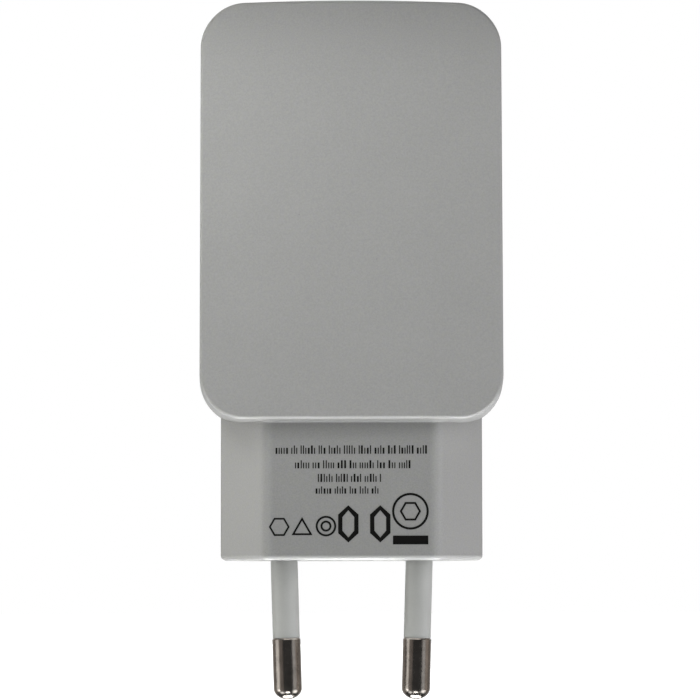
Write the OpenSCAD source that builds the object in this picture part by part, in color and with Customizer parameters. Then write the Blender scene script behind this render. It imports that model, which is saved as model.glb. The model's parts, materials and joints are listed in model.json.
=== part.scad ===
// USB wall charger: a flat housing on a two-pin plug neck, with two USB-A sockets in its far end.
// The origin is the centre of the plug's engagement face, the face that meets the wall socket.
// +Z runs from that face to the USB end, +X is to the right and -Y is out of the front face.

/* [Housing] */
// Width of the housing at its front and rear faces
housing_w = 41.2; // [40.8:0.1:42]
// Length of the housing from its shoulder to the USB end
housing_l = 57; // [57:0.5:60]
// Thickness of the housing from front face to rear face
housing_t = 21; // [21:0.1:22]
// Radius of the housing's corners, seen from the front
corner_r = 6; // [5:0.5:7]
// Rounding between each face and the side walls
edge_r = 0.6; // [0.3:0.1:1]
// Draft of the side walls, widest at the weld seam, in degrees
draft = 2; // [1:0.25:2]
// Thickness of the shell walls
wall = 1.5; // [1.4:0.05:1.5]

/* [Plug neck] */
// Width of the neck
neck_w = 36; // [35.6:0.1:36]
// Thickness of the neck
neck_t = 13.7; // [13.6:0.1:14]
// Length of the neck from the engagement face to the housing
neck_l = 19; // [18.5:0.5:20]
// Depth of the 45 degree chamfer along each side
neck_chamfer = 6.05; // [5.8:0.05:6.05]
// Radius of the ridge between the flat and the chamfer
ridge_r = 3.5; // [2.5:0.5:4]
// Thickness of the wall at the engagement face
end_wall = 1.6; // [1.4:0.1:1.8]

/* [Pins] */
// Diameter of the bare contact end
pin_d = 4; // [3.94:0.02:4.06]
// Length of each pin outside the engagement face
pin_l = 19; // [18.5:0.5:19]
// Distance between the pins at the engagement face
pitch_at_face = 18.6; // [18:0.1:19.2]
// Distance between the pins at their tips
pitch_at_tip = 17.5; // [17:0.1:18]
// Diameter of the insulating sleeve
sleeve_d = 3.66; // [3.5:0.02:3.66]
// Length of sleeve outside the engagement face
sleeve_l = 10.6; // [10:0.1:11]

/* [USB sockets] */
// Distance between the two sockets
usb_pitch = 15.6; // [15.4:0.1:15.8]
// Width of the socket opening
usb_w = 12.5; // [12.4:0.05:12.6]
// Height of the socket opening
usb_h = 5.12; // [5.02:0.02:5.22]
// Length of the socket's metal shell
usb_l = 14; // [13.5:0.5:14]
// Depth from the face plate to the tip of the contact tongue
tongue_recess = 4.3; // [4.3:0.1:4.5]

/* [Circuit board] */
// Distance from the weld seam to the component side of the board
board_y = 2.86; // [2.86:0.02:2.9]
// Thickness of the board
board_t = 1.6; // [1.2:0.2:1.6]

/* [Hidden] */
$fn = 64;
half_t = housing_t / 2;
draft_out = (half_t - edge_r) * tan(draft);
housing_mid = neck_l + housing_l / 2;
housing_end = neck_l + housing_l;
inner_x = housing_w / 2 - wall;
inner_y = half_t - wall;
inner_end = housing_end - wall;
pin_r = pin_d / 2;
sleeve_r = sleeve_d / 2;
core_r = 1.5;
pin_tilt = asin((pitch_at_face - pitch_at_tip) / 2 / pin_l);
plate_face = housing_end - 0.5;
plate_window = 0.5;
mouth = plate_face - 0.5;
sheet = 0.3;
usb_back = mouth - usb_l;
tongue_tip = plate_face - tongue_recess;
board_back = board_y + board_t;
tongue_half = 11.3;
board_low = 9;
board_high = housing_end - 4;
lead_bend = 1.6;
lead_rise = 10.5;
wire_r = 0.65;
// Places on the board, as [x, z]
trafo_at = [-8.8, 43];
in_caps_at = [[5.6, 33.8], [14, 33.8]];
out_caps_at = [[5.6, 53], [14, 53]];
y_cap_at = [9.8, 43.1];
fuse_at = [-4.2, 17];
choke_at = [5.2, 17];
cap_r = 4;
in_cap_l = 12.5;
out_cap_l = 11.5;
led_at = [0, 70.6];
led_h = 1;
// Places on the solder side of the board, as [x, z]
controller_at = [-11, 29];
opto_at = [4.5, 41.2];
bridge_at = [1.5, 28.5];
rectifier_at = [8, 55];
port_chip_at = [0, 58];

// ---- outlines ----

function arc(cx, cy, r, a0, a1, n = 6) =
    [for (i = [0:n]) let (a = a0 + (a1 - a0) * i / n) [cx + r * cos(a), cy + r * sin(a)]];

function box_profile(r, h) = [[0, 0], [r, 0], [r, h], [0, h]];

function strip_profile(r0, r1, h0, h1) = [[r0, h0], [r1, h0], [r1, h1], [r0, h1]];

// Side wall of one housing half, from the seam at height 0 to its face
function wall_profile() = concat(
    [[0, 0], [corner_r + draft_out, 0]],
    arc(corner_r - edge_r, half_t - edge_r, edge_r, 0, 90),
    [[0, half_t]]
);

// Front half of the neck's section, drawn in by g on every side
function neck_half(g) = let (
        hw = neck_w / 2 - g,
        ht = neck_t / 2 - g,
        k = g * (sqrt(2) - 1),
        xc = neck_w / 2 - neck_chamfer - k,
        fy = neck_t / 2 - neck_chamfer - k,
        r = ridge_r - g,
        t = r * tan(22.5)
    ) concat(
        [[hw, 0], [hw, -fy]],
        arc(xc - t, r - ht, r, -45, -90, 4),
        arc(t - xc, r - ht, r, -90, -135, 4),
        [[-hw, -fy], [-hw, 0]]
    );

function neck_whole(g) = let (p = neck_half(g))
    concat(p, [for (i = [len(p) - 2:-1:1]) [p[i][0], -p[i][1]]]);

// ---- building blocks ----

// A profile carried round a rectangle with round corners
module sweep_ring(w, l, r, profile) {
    for (k = [0:3]) {
        u = k % 2 == 0 ? w / 2 - r : l / 2 - r;
        v = k % 2 == 0 ? l / 2 - r : w / 2 - r;
        rotate(90 * k) translate([u, v, 0]) rotate_extrude(angle = 90) polygon(profile);
        rotate(90 * k) translate([u, v, 0]) rotate([90, 0, 0]) linear_extrude(2 * v) polygon(profile);
    }
}

module sweep_solid(w, l, r, profile, h) {
    sweep_ring(w, l, r, profile);
    translate([r - w / 2, r - l / 2, 0]) cube([w - 2 * r, l - 2 * r, h]);
}

module round_block(w, l, r, h) {
    sweep_solid(w, l, r, box_profile(r, h), h);
}

// A wire up Z, round a bend towards X, and on along X
module bent_wire(r, rise, bend, run) {
    cylinder(r = r, h = rise);
    translate([bend, 0, rise]) rotate([90, 0, 0]) rotate(90)
        rotate_extrude(angle = 90) translate([bend, 0]) circle(r = r);
    translate([bend, 0, rise + bend]) rotate([0, 90, 0]) cylinder(r = r, h = run);
}

// Height 0 at the seam, rising towards the front face
module housing_frame() {
    translate([0, 0, housing_mid]) rotate([90, 0, 0]) children();
}

module rear_side() {
    mirror([0, 1, 0]) children();
}

// Component side of the board: local X, Y lie in the board and Z rises to the front
module on_board(at) {
    translate([at[0], board_y, at[1]]) rotate([90, 0, 0]) children();
}

// Solder side of the board, with Z rising to the rear
module behind_board(at) {
    translate([at[0], board_back, at[1]]) mirror([0, 1, 0]) rotate([90, 0, 0]) children();
}

// The axis of a pin: side is -1 for the left one and 1 for the right one
module at_pin(side) {
    translate([side * pitch_at_face / 2, 0, 0]) rotate([0, side * pin_tilt, 0]) children();
}

module at_usb(side) {
    translate([side * usb_pitch / 2, 0, 0]) children();
}

// A lead that leaves a component at height h and turns down through the board
module board_lead(at, turn, h, out, r) {
    bend = 0.8;
    translate([at[0], at[1], h]) rotate([0, 0, turn]) rotate([0, 90, 0])
        bent_wire(r, out, bend, h - bend + board_t + 0.7);
}

// ---- covers ----

module neck_end_rounding() {
    ht = neck_t / 2;
    hw = neck_w / 2;
    rotate([90, 0, 90]) linear_extrude(neck_w + 2, center = true) polygon(concat(
        [[-ht - 1, -1], [-ht - 1, edge_r]],
        arc(edge_r - ht, edge_r, edge_r, 180, 270),
        [[edge_r - ht, -1]]
    ));
    for (side = [-1, 1]) {
        rotate([90, 0, 0]) linear_extrude(neck_t + 2, center = true) polygon(concat(
            [[side * (hw + 1), -1], [side * (hw + 1), edge_r]],
            [for (p = arc(hw - edge_r, edge_r, edge_r, 0, -90)) [side * p[0], p[1]]],
            [[side * (hw - edge_r), -1]]
        ));
    }
}

// One half of the housing and neck, open at the seam
module cover_shell() {
    difference() {
        union() {
            housing_frame() sweep_solid(housing_w, housing_l, corner_r, wall_profile(), half_t);
            difference() {
                linear_extrude(neck_l + 1) polygon(neck_half(0));
                neck_end_rounding();
            }
        }
        housing_frame() round_block(housing_w - 2 * wall, housing_l - 2 * wall, corner_r - wall, inner_y);
        translate([0, 0, end_wall]) linear_extrude(neck_l + wall) polygon(neck_half(wall));
        carrier_opening();
        plate_opening();
    }
}

module carrier_opening() {
    translate([0, 0, -1]) round_block(25, 7, 1, end_wall + 2);
}

module plate_opening() {
    translate([0, 0, inner_end - 1.2]) round_block(32, 11, 1.5, wall + 3);
}

// Welding bead along the two sides of the housing
module weld_tongue(gap) {
    mid = corner_r - wall / 2;
    difference() {
        housing_frame() translate([0, 0, -0.6 - gap]) sweep_ring(
            housing_w, housing_l, corner_r,
            strip_profile(mid - 0.3 - gap, mid + 0.3 + gap, 0, 0.6 + gap)
        );
        translate([-19, -5, 0]) cube([38, 10, neck_l + 3]);
        translate([-18.6, -5, inner_end - 3]) cube([37.2, 10, 10]);
    }
}

// Ribs that hold the board from the front or from the rear: reach is their free end
module board_ribs(reach) {
    for (side = [-1, 1]) {
        for (z = [26, 61]) {
            translate([side * (inner_x - 1.1) - 1, -inner_y - 0.2, z - 1.2])
                cube([2, inner_y + 0.2 + reach, 2.4]);
        }
    }
}

// Ribs that keep the face plate and the pin carrier against their openings
module retaining_ribs() {
    for (side = [-1, 1]) {
        translate([side * 12 - 2, -inner_y - 0.2, inner_end - 2.2]) cube([4, 3.4, 1]);
    }
    translate([-6, -neck_t / 2 + wall - 0.2, end_wall + 2.7]) cube([12, 1.4, 1]);
}

module front_cover() color([0.66, 0.66, 0.65]) {
    cover_shell();
    weld_tongue(0);
    board_ribs(board_y);
    retaining_ribs();
}

module rear_cover() color([0.66, 0.66, 0.65]) {
    difference() {
        rear_side() {
            cover_shell();
            board_ribs(-board_back);
            retaining_ribs();
        }
        weld_tongue(0.05);
    }
}

module insulation_sheet() color([0.93, 0.9, 0.78]) {
    translate([-15.5, inner_y - 0.25, 24]) cube([31, 0.25, 38]);
}

// ---- USB end ----

module usb_face_plate() color([0.9, 0.9, 0.89]) {
    difference() {
        union() {
            translate([0, 0, inner_end - 1]) round_block(31.9, 10.9, 1.45, plate_face - inner_end + 1);
            translate([0, 0, inner_end - 1.1]) round_block(28.6, 13, 1, 1.1);
        }
        for (side = [-1, 1]) {
            at_usb(side) translate([0, 0, inner_end - 2])
                round_block(usb_w + 2 * plate_window, usb_h + 2 * plate_window, 0.8, 5);
        }
        at_led() translate([0, 0, inner_end - 2]) cylinder(r = 0.72, h = 5);
    }
}

// The axis along which the status light shines out of the face plate
module at_led() {
    translate([led_at[0], board_y - led_h / 2, 0]) children();
}

module led_window() color([0.95, 0.97, 1, 0.6]) {
    at_led() translate([0, 0, inner_end - 1.1]) cylinder(r = 0.7, h = plate_face - inner_end + 1.1);
    at_led() translate([0, 0, inner_end - 1.8]) cylinder(r = 1, h = 0.7);
}

// Side-view light: a case with a sunk lens in the face that looks out of the USB end
module status_led() color([0.9, 0.93, 1]) {
    on_board(led_at) difference() {
        translate([-1, -0.6, 0]) cube([2, 1.2, led_h]);
        translate([-0.7, 0.35, 0.2]) cube([1.4, 1, 0.6]);
    }
}

// A spring leaf in one face of a socket shell: it leans in to a bump and out again
module usb_leaf() {
    y = usb_h / 2;
    rotate([90, 0, 90]) linear_extrude(1.5, center = true) polygon([
        [y, usb_back + 4.4], [y - 0.45, mouth - 6], [y + 0.05, tongue_tip - 0.2],
        [y + 0.3, tongue_tip - 0.3], [y - 0.18, mouth - 6], [y + 0.27, usb_back + 4.4]
    ]);
}

module usb_shell() {
    difference() {
        translate([0, 0, usb_back]) round_block(usb_w + 2 * sheet, usb_h + 2 * sheet, 0.6, usb_l);
        translate([0, 0, usb_back - 1]) round_block(usb_w, usb_h, 0.3, usb_l + 2);
        for (x = [-3.2, 3.2]) {
            translate([x - 1.1, -usb_h, usb_back + 4.5]) cube([2.2, 2 * usb_h, 7]);
        }
    }
    for (x = [-3.2, 3.2]) {
        translate([x, 0, 0]) usb_leaf();
        translate([x, 0, 0]) mirror([0, 1, 0]) usb_leaf();
    }
    usb_legs(0);
}

// Solder legs of a socket shell
module usb_legs(gap) {
    for (side = [-1, 1]) {
        translate([side * (usb_w + sheet) / 2 - sheet / 2 - gap, 1, usb_back + 2.5 - gap])
            cube([sheet + 2 * gap, board_t + 3, 2.2 + 2 * gap]);
    }
}

module usb_contact_strip(gap) {
    rotate([90, 0, 90]) linear_extrude(1 + 2 * gap, center = true) polygon([
        [-0.06 - gap, tongue_tip - 1.2], [0.14, tongue_tip - 0.9], [0.5, tongue_tip - 2.6],
        [0.2 + gap, usb_back + 3.4], [0.2 + gap, usb_back - 0.1 + gap],
        [board_back + 0.8, usb_back - 0.1 + gap], [board_back + 0.8, usb_back - 0.35 - gap],
        [-0.06 - gap, usb_back - 0.35 - gap]
    ]);
}

module usb_contacts(gap = 0) {
    for (x = [-3.5, -1, 1, 3.5]) {
        translate([x, 0, 0]) usb_contact_strip(gap);
    }
}

module usb_tongue() {
    difference() {
        union() {
            translate([0, 0, usb_back]) round_block(usb_w - 0.1, usb_h - 0.1, 0.3, 3);
            translate([-5.55, -1.9, usb_back + 2]) cube([11.1, 1.84, tongue_tip - usb_back - 2]);
        }
        usb_contacts();
    }
}

module left_usb_shell() color([0.8, 0.8, 0.78]) at_usb(-1) usb_shell();
module right_usb_shell() color([0.8, 0.8, 0.78]) at_usb(1) usb_shell();
module left_usb_tongue() color([0.93, 0.93, 0.92]) at_usb(-1) usb_tongue();
module right_usb_tongue() color([0.93, 0.93, 0.92]) at_usb(1) usb_tongue();
module left_usb_contacts() color([0.86, 0.68, 0.3]) at_usb(-1) usb_contacts();
module right_usb_contacts() color([0.86, 0.68, 0.3]) at_usb(1) usb_contacts();

// ---- plug end ----

// Turned pin: nose, contact length, thinner core under the sleeve, collar and solder cup
module pin_body() {
    rotate_extrude() polygon(concat(
        [[0, -pin_l]],
        arc(0.45, 0.5 - pin_l, 0.5, -90, -45, 3),
        arc(pin_r - 1, 1.6 - pin_l, 1, -45, 0, 4),
        [
            [pin_r, -sleeve_l], [core_r, -sleeve_l], [core_r, 2.2], [2.3, 2.2], [2.3, 3.6],
            [core_r, 3.6], [core_r, 8], [wire_r + 0.05, 8], [wire_r + 0.05, 5.8], [0, 5.8]
        ]
    ));
}

module sleeve_body() {
    difference() {
        translate([0, 0, -sleeve_l]) cylinder(r = sleeve_r, h = sleeve_l + end_wall);
        translate([0, 0, -sleeve_l - 1]) cylinder(r = core_r, h = sleeve_l + end_wall + 2);
    }
}

module left_pin() color([0.75, 0.74, 0.72]) at_pin(-1) pin_body();
module right_pin() color([0.75, 0.74, 0.72]) at_pin(1) pin_body();
module left_pin_sleeve() color([0.7, 0.7, 0.68]) at_pin(-1) sleeve_body();
module right_pin_sleeve() color([0.7, 0.7, 0.68]) at_pin(1) sleeve_body();

module pin_carrier() color([0.68, 0.68, 0.67]) {
    difference() {
        union() {
            round_block(24.9, 6.9, 0.95, end_wall);
            translate([0, 0, end_wall]) linear_extrude(2.6) polygon(neck_whole(wall + 0.1));
            for (side = [-1, 1]) {
                at_pin(side) translate([0, 0, 3]) cylinder(r = 3.2, h = 2.6);
            }
        }
        for (side = [-1, 1]) {
            at_pin(side) translate([0, 0, -1]) cylinder(r = sleeve_r, h = end_wall + 1);
            at_pin(side) pin_body();
        }
    }
}

module pin_lead(side, r) {
    at_pin(side) translate([0, 0, 5.85]) rotate([0, 0, 90])
        bent_wire(r, lead_rise - 5.85, lead_bend, board_back + 0.6 - lead_bend);
}

module live_lead() color([0.5, 0.25, 0.12]) pin_lead(-1, wire_r);
module neutral_lead() color([0.15, 0.3, 0.65]) pin_lead(1, wire_r);

// ---- board and its components ----

module main_board() color([0.76, 0.62, 0.3]) {
    difference() {
        union() {
            translate([-inner_x + 0.5, board_y, neck_l + 4.5])
                cube([2 * inner_x - 1, board_t, board_high - neck_l - 4.5]);
            translate([-tongue_half, board_y, board_low])
                cube([2 * tongue_half, board_t, neck_l + 6 - board_low]);
        }
        // isolation slot between the mains side and the output side
        translate([1.6, board_y - 1, 44.6]) cube([13, board_t + 2, 1]);
        // corners of the tongue end
        for (side = [-1, 1]) {
            translate([side * tongue_half, board_y - 1, board_low]) rotate([0, 45, 0])
                cube([2, 2 * board_t + 4, 2], center = true);
        }
        pin_lead(-1, wire_r + 0.1);
        pin_lead(1, wire_r + 0.1);
        component_wires(0.1);
        transformer_posts(0.1);
        for (side = [-1, 1]) {
            at_usb(side) usb_legs(0.1);
            at_usb(side) contact_holes();
        }
    }
}

module contact_holes() {
    for (x = [-3.5, -1, 1, 3.5]) {
        translate([x - 0.6, board_y - 1, usb_back - 0.5]) cube([1.2, board_t + 2, 0.5]);
    }
}

// Tinned leads of the through-hole components
module component_wires(gap) {
    r = 0.3 + gap;
    for (at = in_caps_at) {
        for (x = [-1.75, 1.75]) {
            on_board(at) board_lead([x, -in_cap_l / 2], -90, cap_r + 0.15, 1, r);
        }
    }
    for (at = out_caps_at) {
        for (x = [-1.75, 1.75]) {
            on_board(at) board_lead([x, -out_cap_l / 2], -90, cap_r + 0.15, 0.4, r);
        }
    }
    for (side = [-1, 1]) {
        on_board(fuse_at) board_lead([side * 4.1, 0], side == 1 ? 0 : 180, 2, 0.3, r);
        on_board(choke_at) translate([side * 2.2, 0, -board_t - 0.7]) cylinder(r = r, h = board_t + 0.95);
        on_board(y_cap_at) translate([side * 2.5, 0, -board_t - 0.7]) cylinder(r = r, h = board_t + 2.5);
    }
}

module component_leads() color([0.82, 0.82, 0.82]) component_wires(0);

module fuse_resistor() color([0.55, 0.75, 0.62]) {
    on_board(fuse_at) translate([0, 0, 2]) rotate([0, 90, 0]) rotate_extrude() polygon([
        [0, -4.1], [1.2, -4.1], [1.7, -3.7], [1.7, -2.3], [1.35, -1.9],
        [1.35, 1.9], [1.7, 2.3], [1.7, 3.7], [1.2, 4.1], [0, 4.1]
    ]);
}

module input_choke_core() color([0.25, 0.25, 0.26]) {
    on_board(choke_at) {
        translate([0, 0, 0.3]) cylinder(r = 3, h = 1);
        translate([0, 0, 0.3]) cylinder(r = 1.5, h = 7.2);
        translate([0, 0, 6.5]) cylinder(r = 3, h = 1);
    }
}

module input_choke_winding() color([0.72, 0.42, 0.2]) {
    on_board(choke_at) translate([0, 0, 1.35]) difference() {
        cylinder(r = 2.75, h = 5.1);
        translate([0, 0, -1]) cylinder(r = 1.55, h = 8);
    }
}

// Sleeved can lying along local Y, with the crimp that holds its seal
module capacitor_can(l) {
    translate([0, -l / 2, cap_r + 0.15]) rotate([-90, 0, 0]) difference() {
        rotate_extrude() polygon(concat(
            [[0, 0], [cap_r - 0.35, 0], [cap_r, 0.35], [cap_r, 1.3], [cap_r - 0.45, 1.7], [cap_r, 2.1]],
            arc(cap_r - 0.5, l - 0.5, 0.5, 0, 90, 4),
            [[cap_r - 0.9, l - 0.25], [0, l - 0.25]]
        ));
        translate([0, 0, -1]) cylinder(r = 3, h = 2.2);
    }
}

module input_capacitor_1() color([0.12, 0.13, 0.16]) on_board(in_caps_at[0]) capacitor_can(in_cap_l);
module input_capacitor_2() color([0.12, 0.13, 0.16]) on_board(in_caps_at[1]) capacitor_can(in_cap_l);
module output_capacitor_1() color([0.2, 0.32, 0.2]) on_board(out_caps_at[0]) capacitor_can(out_cap_l);
module output_capacitor_2() color([0.2, 0.32, 0.2]) on_board(out_caps_at[1]) capacitor_can(out_cap_l);

// Rubber seals in the ends of the four cans
module capacitor_seal(l) {
    translate([0, -l / 2 + 0.15, cap_r + 0.15]) rotate([-90, 0, 0]) difference() {
        cylinder(r = 2.95, h = 1);
        for (x = [-1.75, 1.75]) {
            translate([x, 0, -1]) cylinder(r = 0.3, h = 1.2);
        }
    }
}

module capacitor_seals() color([0.1, 0.1, 0.1]) {
    for (at = in_caps_at) {
        on_board(at) capacitor_seal(in_cap_l);
    }
    for (at = out_caps_at) {
        on_board(at) capacitor_seal(out_cap_l);
    }
}

// Ceramic disc standing on edge across the isolation slot's end
module y_capacitor() color([0.2, 0.42, 0.75]) {
    on_board(y_cap_at) translate([0, 0, 5.5]) rotate([90, 0, 0]) rotate_extrude() polygon(concat(
        [[0, -1.4]], arc(3, -0.4, 1, -90, 0, 4), arc(3, 0.4, 1, 0, 90, 4), [[0, 1.4]]
    ));
}

// Ferrite E: back, two outer legs and a centre leg, closed by its twin at Y = 0
module e_core() {
    translate([-8, 6, 3.2]) cube([16, 2, 5]);
    translate([-8, 0.02, 3.2]) cube([2.6, 6.5, 5]);
    translate([5.4, 0.02, 3.2]) cube([2.6, 6.5, 5]);
    translate([-2, 0.02, 3.2]) cube([4, 6.5, 5]);
}

module transformer_upper_core() color([0.2, 0.2, 0.21]) on_board(trafo_at) e_core();
module transformer_lower_core() color([0.2, 0.2, 0.21]) on_board(trafo_at) mirror([0, 1, 0]) e_core();

module transformer_bobbin() color([0.12, 0.12, 0.12]) {
    on_board(trafo_at) difference() {
        union() {
            translate([-2.7, -5.9, 2.5]) cube([5.4, 11.8, 6.4]);
            for (side = [-1, 1]) {
                translate([-5.3, side * 5.5 - 0.4, 0.6]) cube([10.6, 0.8, 9.9]);
                translate([-7.6, side * 7.6 - 1.8, 0.3]) cube([15.2, 3.6, 2.8]);
            }
        }
        translate([-2.1, -7, 3.1]) cube([4.2, 14, 5.2]);
        transformer_post_group(0);
    }
}

module transformer_winding() color([0.75, 0.4, 0.2]) {
    on_board(trafo_at) rotate([90, 0, 0]) translate([0, 5.7, -5]) difference() {
        round_block(9.4, 8.8, 2, 10);
        translate([0, 0, -1]) round_block(5.6, 6.6, 0.2, 12);
    }
}

module transformer_tape() color([0.93, 0.8, 0.25]) {
    on_board(trafo_at) rotate([90, 0, 0]) translate([0, 5.7, -5]) difference() {
        round_block(10, 9.4, 2.3, 10);
        translate([0, 0, -1]) round_block(9.44, 8.84, 2.02, 12);
    }
}

module transformer_post_group(gap) {
    for (x = [-5.7, -1.9, 1.9, 5.7]) {
        for (side = [-1, 1]) {
            translate([x, side * 8.2, -board_t - 0.8]) cylinder(r = 0.32 + gap, h = board_t + 2.8);
        }
    }
}

module transformer_posts(gap) {
    on_board(trafo_at) transformer_post_group(gap);
}

module transformer_pins() color([0.8, 0.8, 0.8]) transformer_posts(0);

// Moulded package with a pin 1 dimple, w across the leads and l along them
module chip_body(w, l, h) {
    difference() {
        rotate([90, 0, 0]) linear_extrude(l, center = true) polygon([
            [0.15 - w / 2, 0.1], [w / 2 - 0.15, 0.1], [w / 2, 0.1 + h / 2],
            [w / 2 - 0.15, 0.1 + h], [0.15 - w / 2, 0.1 + h], [-w / 2, 0.1 + h / 2]
        ]);
        translate([0.9 - w / 2, l / 2 - 0.9, h]) cylinder(r = 0.35, h = 1);
    }
}

// Gull-wing leads for a package of width w, n to a side
module chip_legs(w, h, n, pitch) {
    for (side = [-1, 1]) {
        for (i = [0:n - 1]) {
            translate([0, (i - (n - 1) / 2) * pitch, 0]) rotate([90, 0, 0])
                linear_extrude(0.4, center = true) polygon([
                    for (p = [
                        [w / 2, h / 2], [w / 2 + 0.35, h / 2], [w / 2 + 0.6, 0], [w / 2 + 1.1, 0],
                        [w / 2 + 1.1, 0.2], [w / 2 + 0.75, 0.2], [w / 2 + 0.5, h / 2 + 0.2], [w / 2, h / 2 + 0.2]
                    ]) [side * p[0], p[1]]
                ]);
        }
    }
}

module controller_chip() color([0.13, 0.13, 0.14]) behind_board(controller_at) chip_body(3.9, 4.9, 1.5);
module optocoupler() color([0.9, 0.9, 0.88]) behind_board(opto_at) rotate(90) chip_body(6.4, 4.5, 2.2);
module bridge_rectifier() color([0.14, 0.14, 0.14]) behind_board(bridge_at) chip_body(4, 4.8, 2.4);
module output_rectifier() color([0.14, 0.14, 0.14]) behind_board(rectifier_at) chip_body(5.4, 4, 1.2);
module port_controller_chip() color([0.13, 0.13, 0.14]) behind_board(port_chip_at) chip_body(1.7, 2.9, 1);

module chip_leads() color([0.82, 0.82, 0.82]) {
    behind_board(controller_at) chip_legs(3.9, 1.5, 4, 1.27);
    behind_board(opto_at) rotate(90) chip_legs(6.4, 2.2, 2, 2.54);
    behind_board(bridge_at) chip_legs(4, 2.4, 2, 2.54);
    behind_board(rectifier_at) chip_legs(5.4, 1.2, 3, 1.1);
    behind_board(port_chip_at) chip_legs(1.7, 1, 3, 0.95);
}

module chip_resistors() color([0.1, 0.1, 0.11]) {
    for (at = [[-11, 36.8], [-11, 39.4], [-3.6, 27], [-3.6, 30], [-6, 56.5], [-6, 59], [9.8, 26], [0, 54.2]]) {
        behind_board(at) translate([-1.6, -0.8, 0]) cube([3.2, 1.6, 0.6]);
    }
}

module chip_capacitors() color([0.72, 0.6, 0.45]) {
    for (at = [[-5, 37], [-3.6, 33.2], [9, 30], [-10.6, 56.5], [-10.6, 59], [13.5, 47.6]]) {
        behind_board(at) translate([-1, -0.65, 0]) cube([2, 1.3, 1]);
    }
}

front_cover();
rear_cover();
usb_face_plate();
led_window();
insulation_sheet();
pin_carrier();
left_pin();
right_pin();
left_pin_sleeve();
right_pin_sleeve();
live_lead();
neutral_lead();
main_board();
component_leads();
fuse_resistor();
input_choke_core();
input_choke_winding();
bridge_rectifier();
input_capacitor_1();
input_capacitor_2();
output_capacitor_1();
output_capacitor_2();
capacitor_seals();
y_capacitor();
transformer_lower_core();
transformer_upper_core();
transformer_bobbin();
transformer_winding();
transformer_tape();
transformer_pins();
controller_chip();
optocoupler();
output_rectifier();
port_controller_chip();
chip_leads();
chip_resistors();
chip_capacitors();
status_led();
left_usb_shell();
right_usb_shell();
left_usb_tongue();
right_usb_tongue();
left_usb_contacts();
right_usb_contacts();
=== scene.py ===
"""USB wall charger: detailed meshes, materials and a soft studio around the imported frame.

Shapes are worked out in millimetres, in the row's frame: the origin is the centre of the plug's
engagement face, +Z runs to the USB end and -Y is out of the front face.
"""

import json
import math
import random

import bmesh
import bpy
from mathutils import Matrix, Vector


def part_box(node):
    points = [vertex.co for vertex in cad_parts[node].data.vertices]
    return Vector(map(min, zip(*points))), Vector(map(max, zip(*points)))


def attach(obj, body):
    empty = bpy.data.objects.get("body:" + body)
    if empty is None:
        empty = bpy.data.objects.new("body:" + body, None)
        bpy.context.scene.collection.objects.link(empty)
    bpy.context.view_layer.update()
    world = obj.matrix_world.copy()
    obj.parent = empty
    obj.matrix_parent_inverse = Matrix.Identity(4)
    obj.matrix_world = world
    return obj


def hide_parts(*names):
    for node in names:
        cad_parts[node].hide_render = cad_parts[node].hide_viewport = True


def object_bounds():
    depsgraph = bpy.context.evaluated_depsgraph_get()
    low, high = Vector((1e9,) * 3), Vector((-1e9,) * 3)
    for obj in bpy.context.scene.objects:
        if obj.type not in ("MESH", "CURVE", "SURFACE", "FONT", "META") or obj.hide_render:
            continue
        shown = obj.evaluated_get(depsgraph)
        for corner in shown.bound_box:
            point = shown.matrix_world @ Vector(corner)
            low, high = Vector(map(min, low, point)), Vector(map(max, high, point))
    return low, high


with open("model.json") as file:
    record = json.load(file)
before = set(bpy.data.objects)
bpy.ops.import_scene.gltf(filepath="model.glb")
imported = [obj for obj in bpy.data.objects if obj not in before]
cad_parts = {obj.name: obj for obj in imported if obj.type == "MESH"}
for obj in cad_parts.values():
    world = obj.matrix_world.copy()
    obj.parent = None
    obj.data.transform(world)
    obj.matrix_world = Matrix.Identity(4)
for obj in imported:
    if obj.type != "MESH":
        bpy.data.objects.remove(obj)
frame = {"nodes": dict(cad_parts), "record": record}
CAD_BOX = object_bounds()
MM = 0.001


def box_mm(node):
    """Lowest and highest corner of a CAD node, in millimetres."""
    lo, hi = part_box(node)
    return lo / MM, hi / MM


# ---- driving sizes, in millimetres, the first few read from the frame ----

COVER_LO, COVER_HI = box_mm("front_cover")
PLATE_LO, PLATE_HI = box_mm("usb_face_plate")
HALF_T = -COVER_LO.y                      # half the housing's thickness
EDGE_R = 0.5                              # rounding between a face and the side walls
NECK_EDGE_R = 0.75                        # rounding around the engagement face
CORNER_R = 6.0                            # the housing's corners in the front view
DRAFT = math.radians(2)                   # lean of the side walls, outwards to the seam
DRAFT_OUT = (HALF_T - EDGE_R) * math.tan(DRAFT)
HALF_W = COVER_HI.x - DRAFT_OUT           # half width at the face
NECK_L = 19.0                             # the neck, and so the height of the shoulder
HOUSING_END = 76.0                        # height of the USB end
MID_Z = (NECK_L + HOUSING_END) / 2
HALF_L = (HOUSING_END - NECK_L) / 2
WALL = 1.5
END_WALL = 1.6                            # wall behind the engagement face
SEAM = 0.12                               # chamfer on each side of the weld seam
NECK_HALF_W, NECK_HALF_T = 18.0, 6.85
NECK_CHAMFER = 6.05                       # legs of the neck's 45 degree chamfers
RIDGE_R = 2.0                             # between the neck's chamfers and its flats
NECK_SIDE_R = 0.7                         # between the neck's chamfers and its side walls
FILLET = 0.45                             # between the neck and the housing's shoulder
FILLET_FADE = (14.5, 12.0)                # half widths where the fillet begins and is full
TOP_ARCH = 0.32                           # fall of the USB end's outline at TOP_ARCH_AT
TOP_ARCH_AT = 15.0
TOP_RISE = 0.19                           # rise of the USB end's crown at the middle
TOP_FALL_FROM = 58.0
SIDE_FALL = 0.13                          # fall of the side walls towards the USB end
SIDE_FADE = (15.0, 19.0)                  # half widths where that fall begins and is full
FACE_FALL = 0.3                           # fall of the faces towards the USB end
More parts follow.
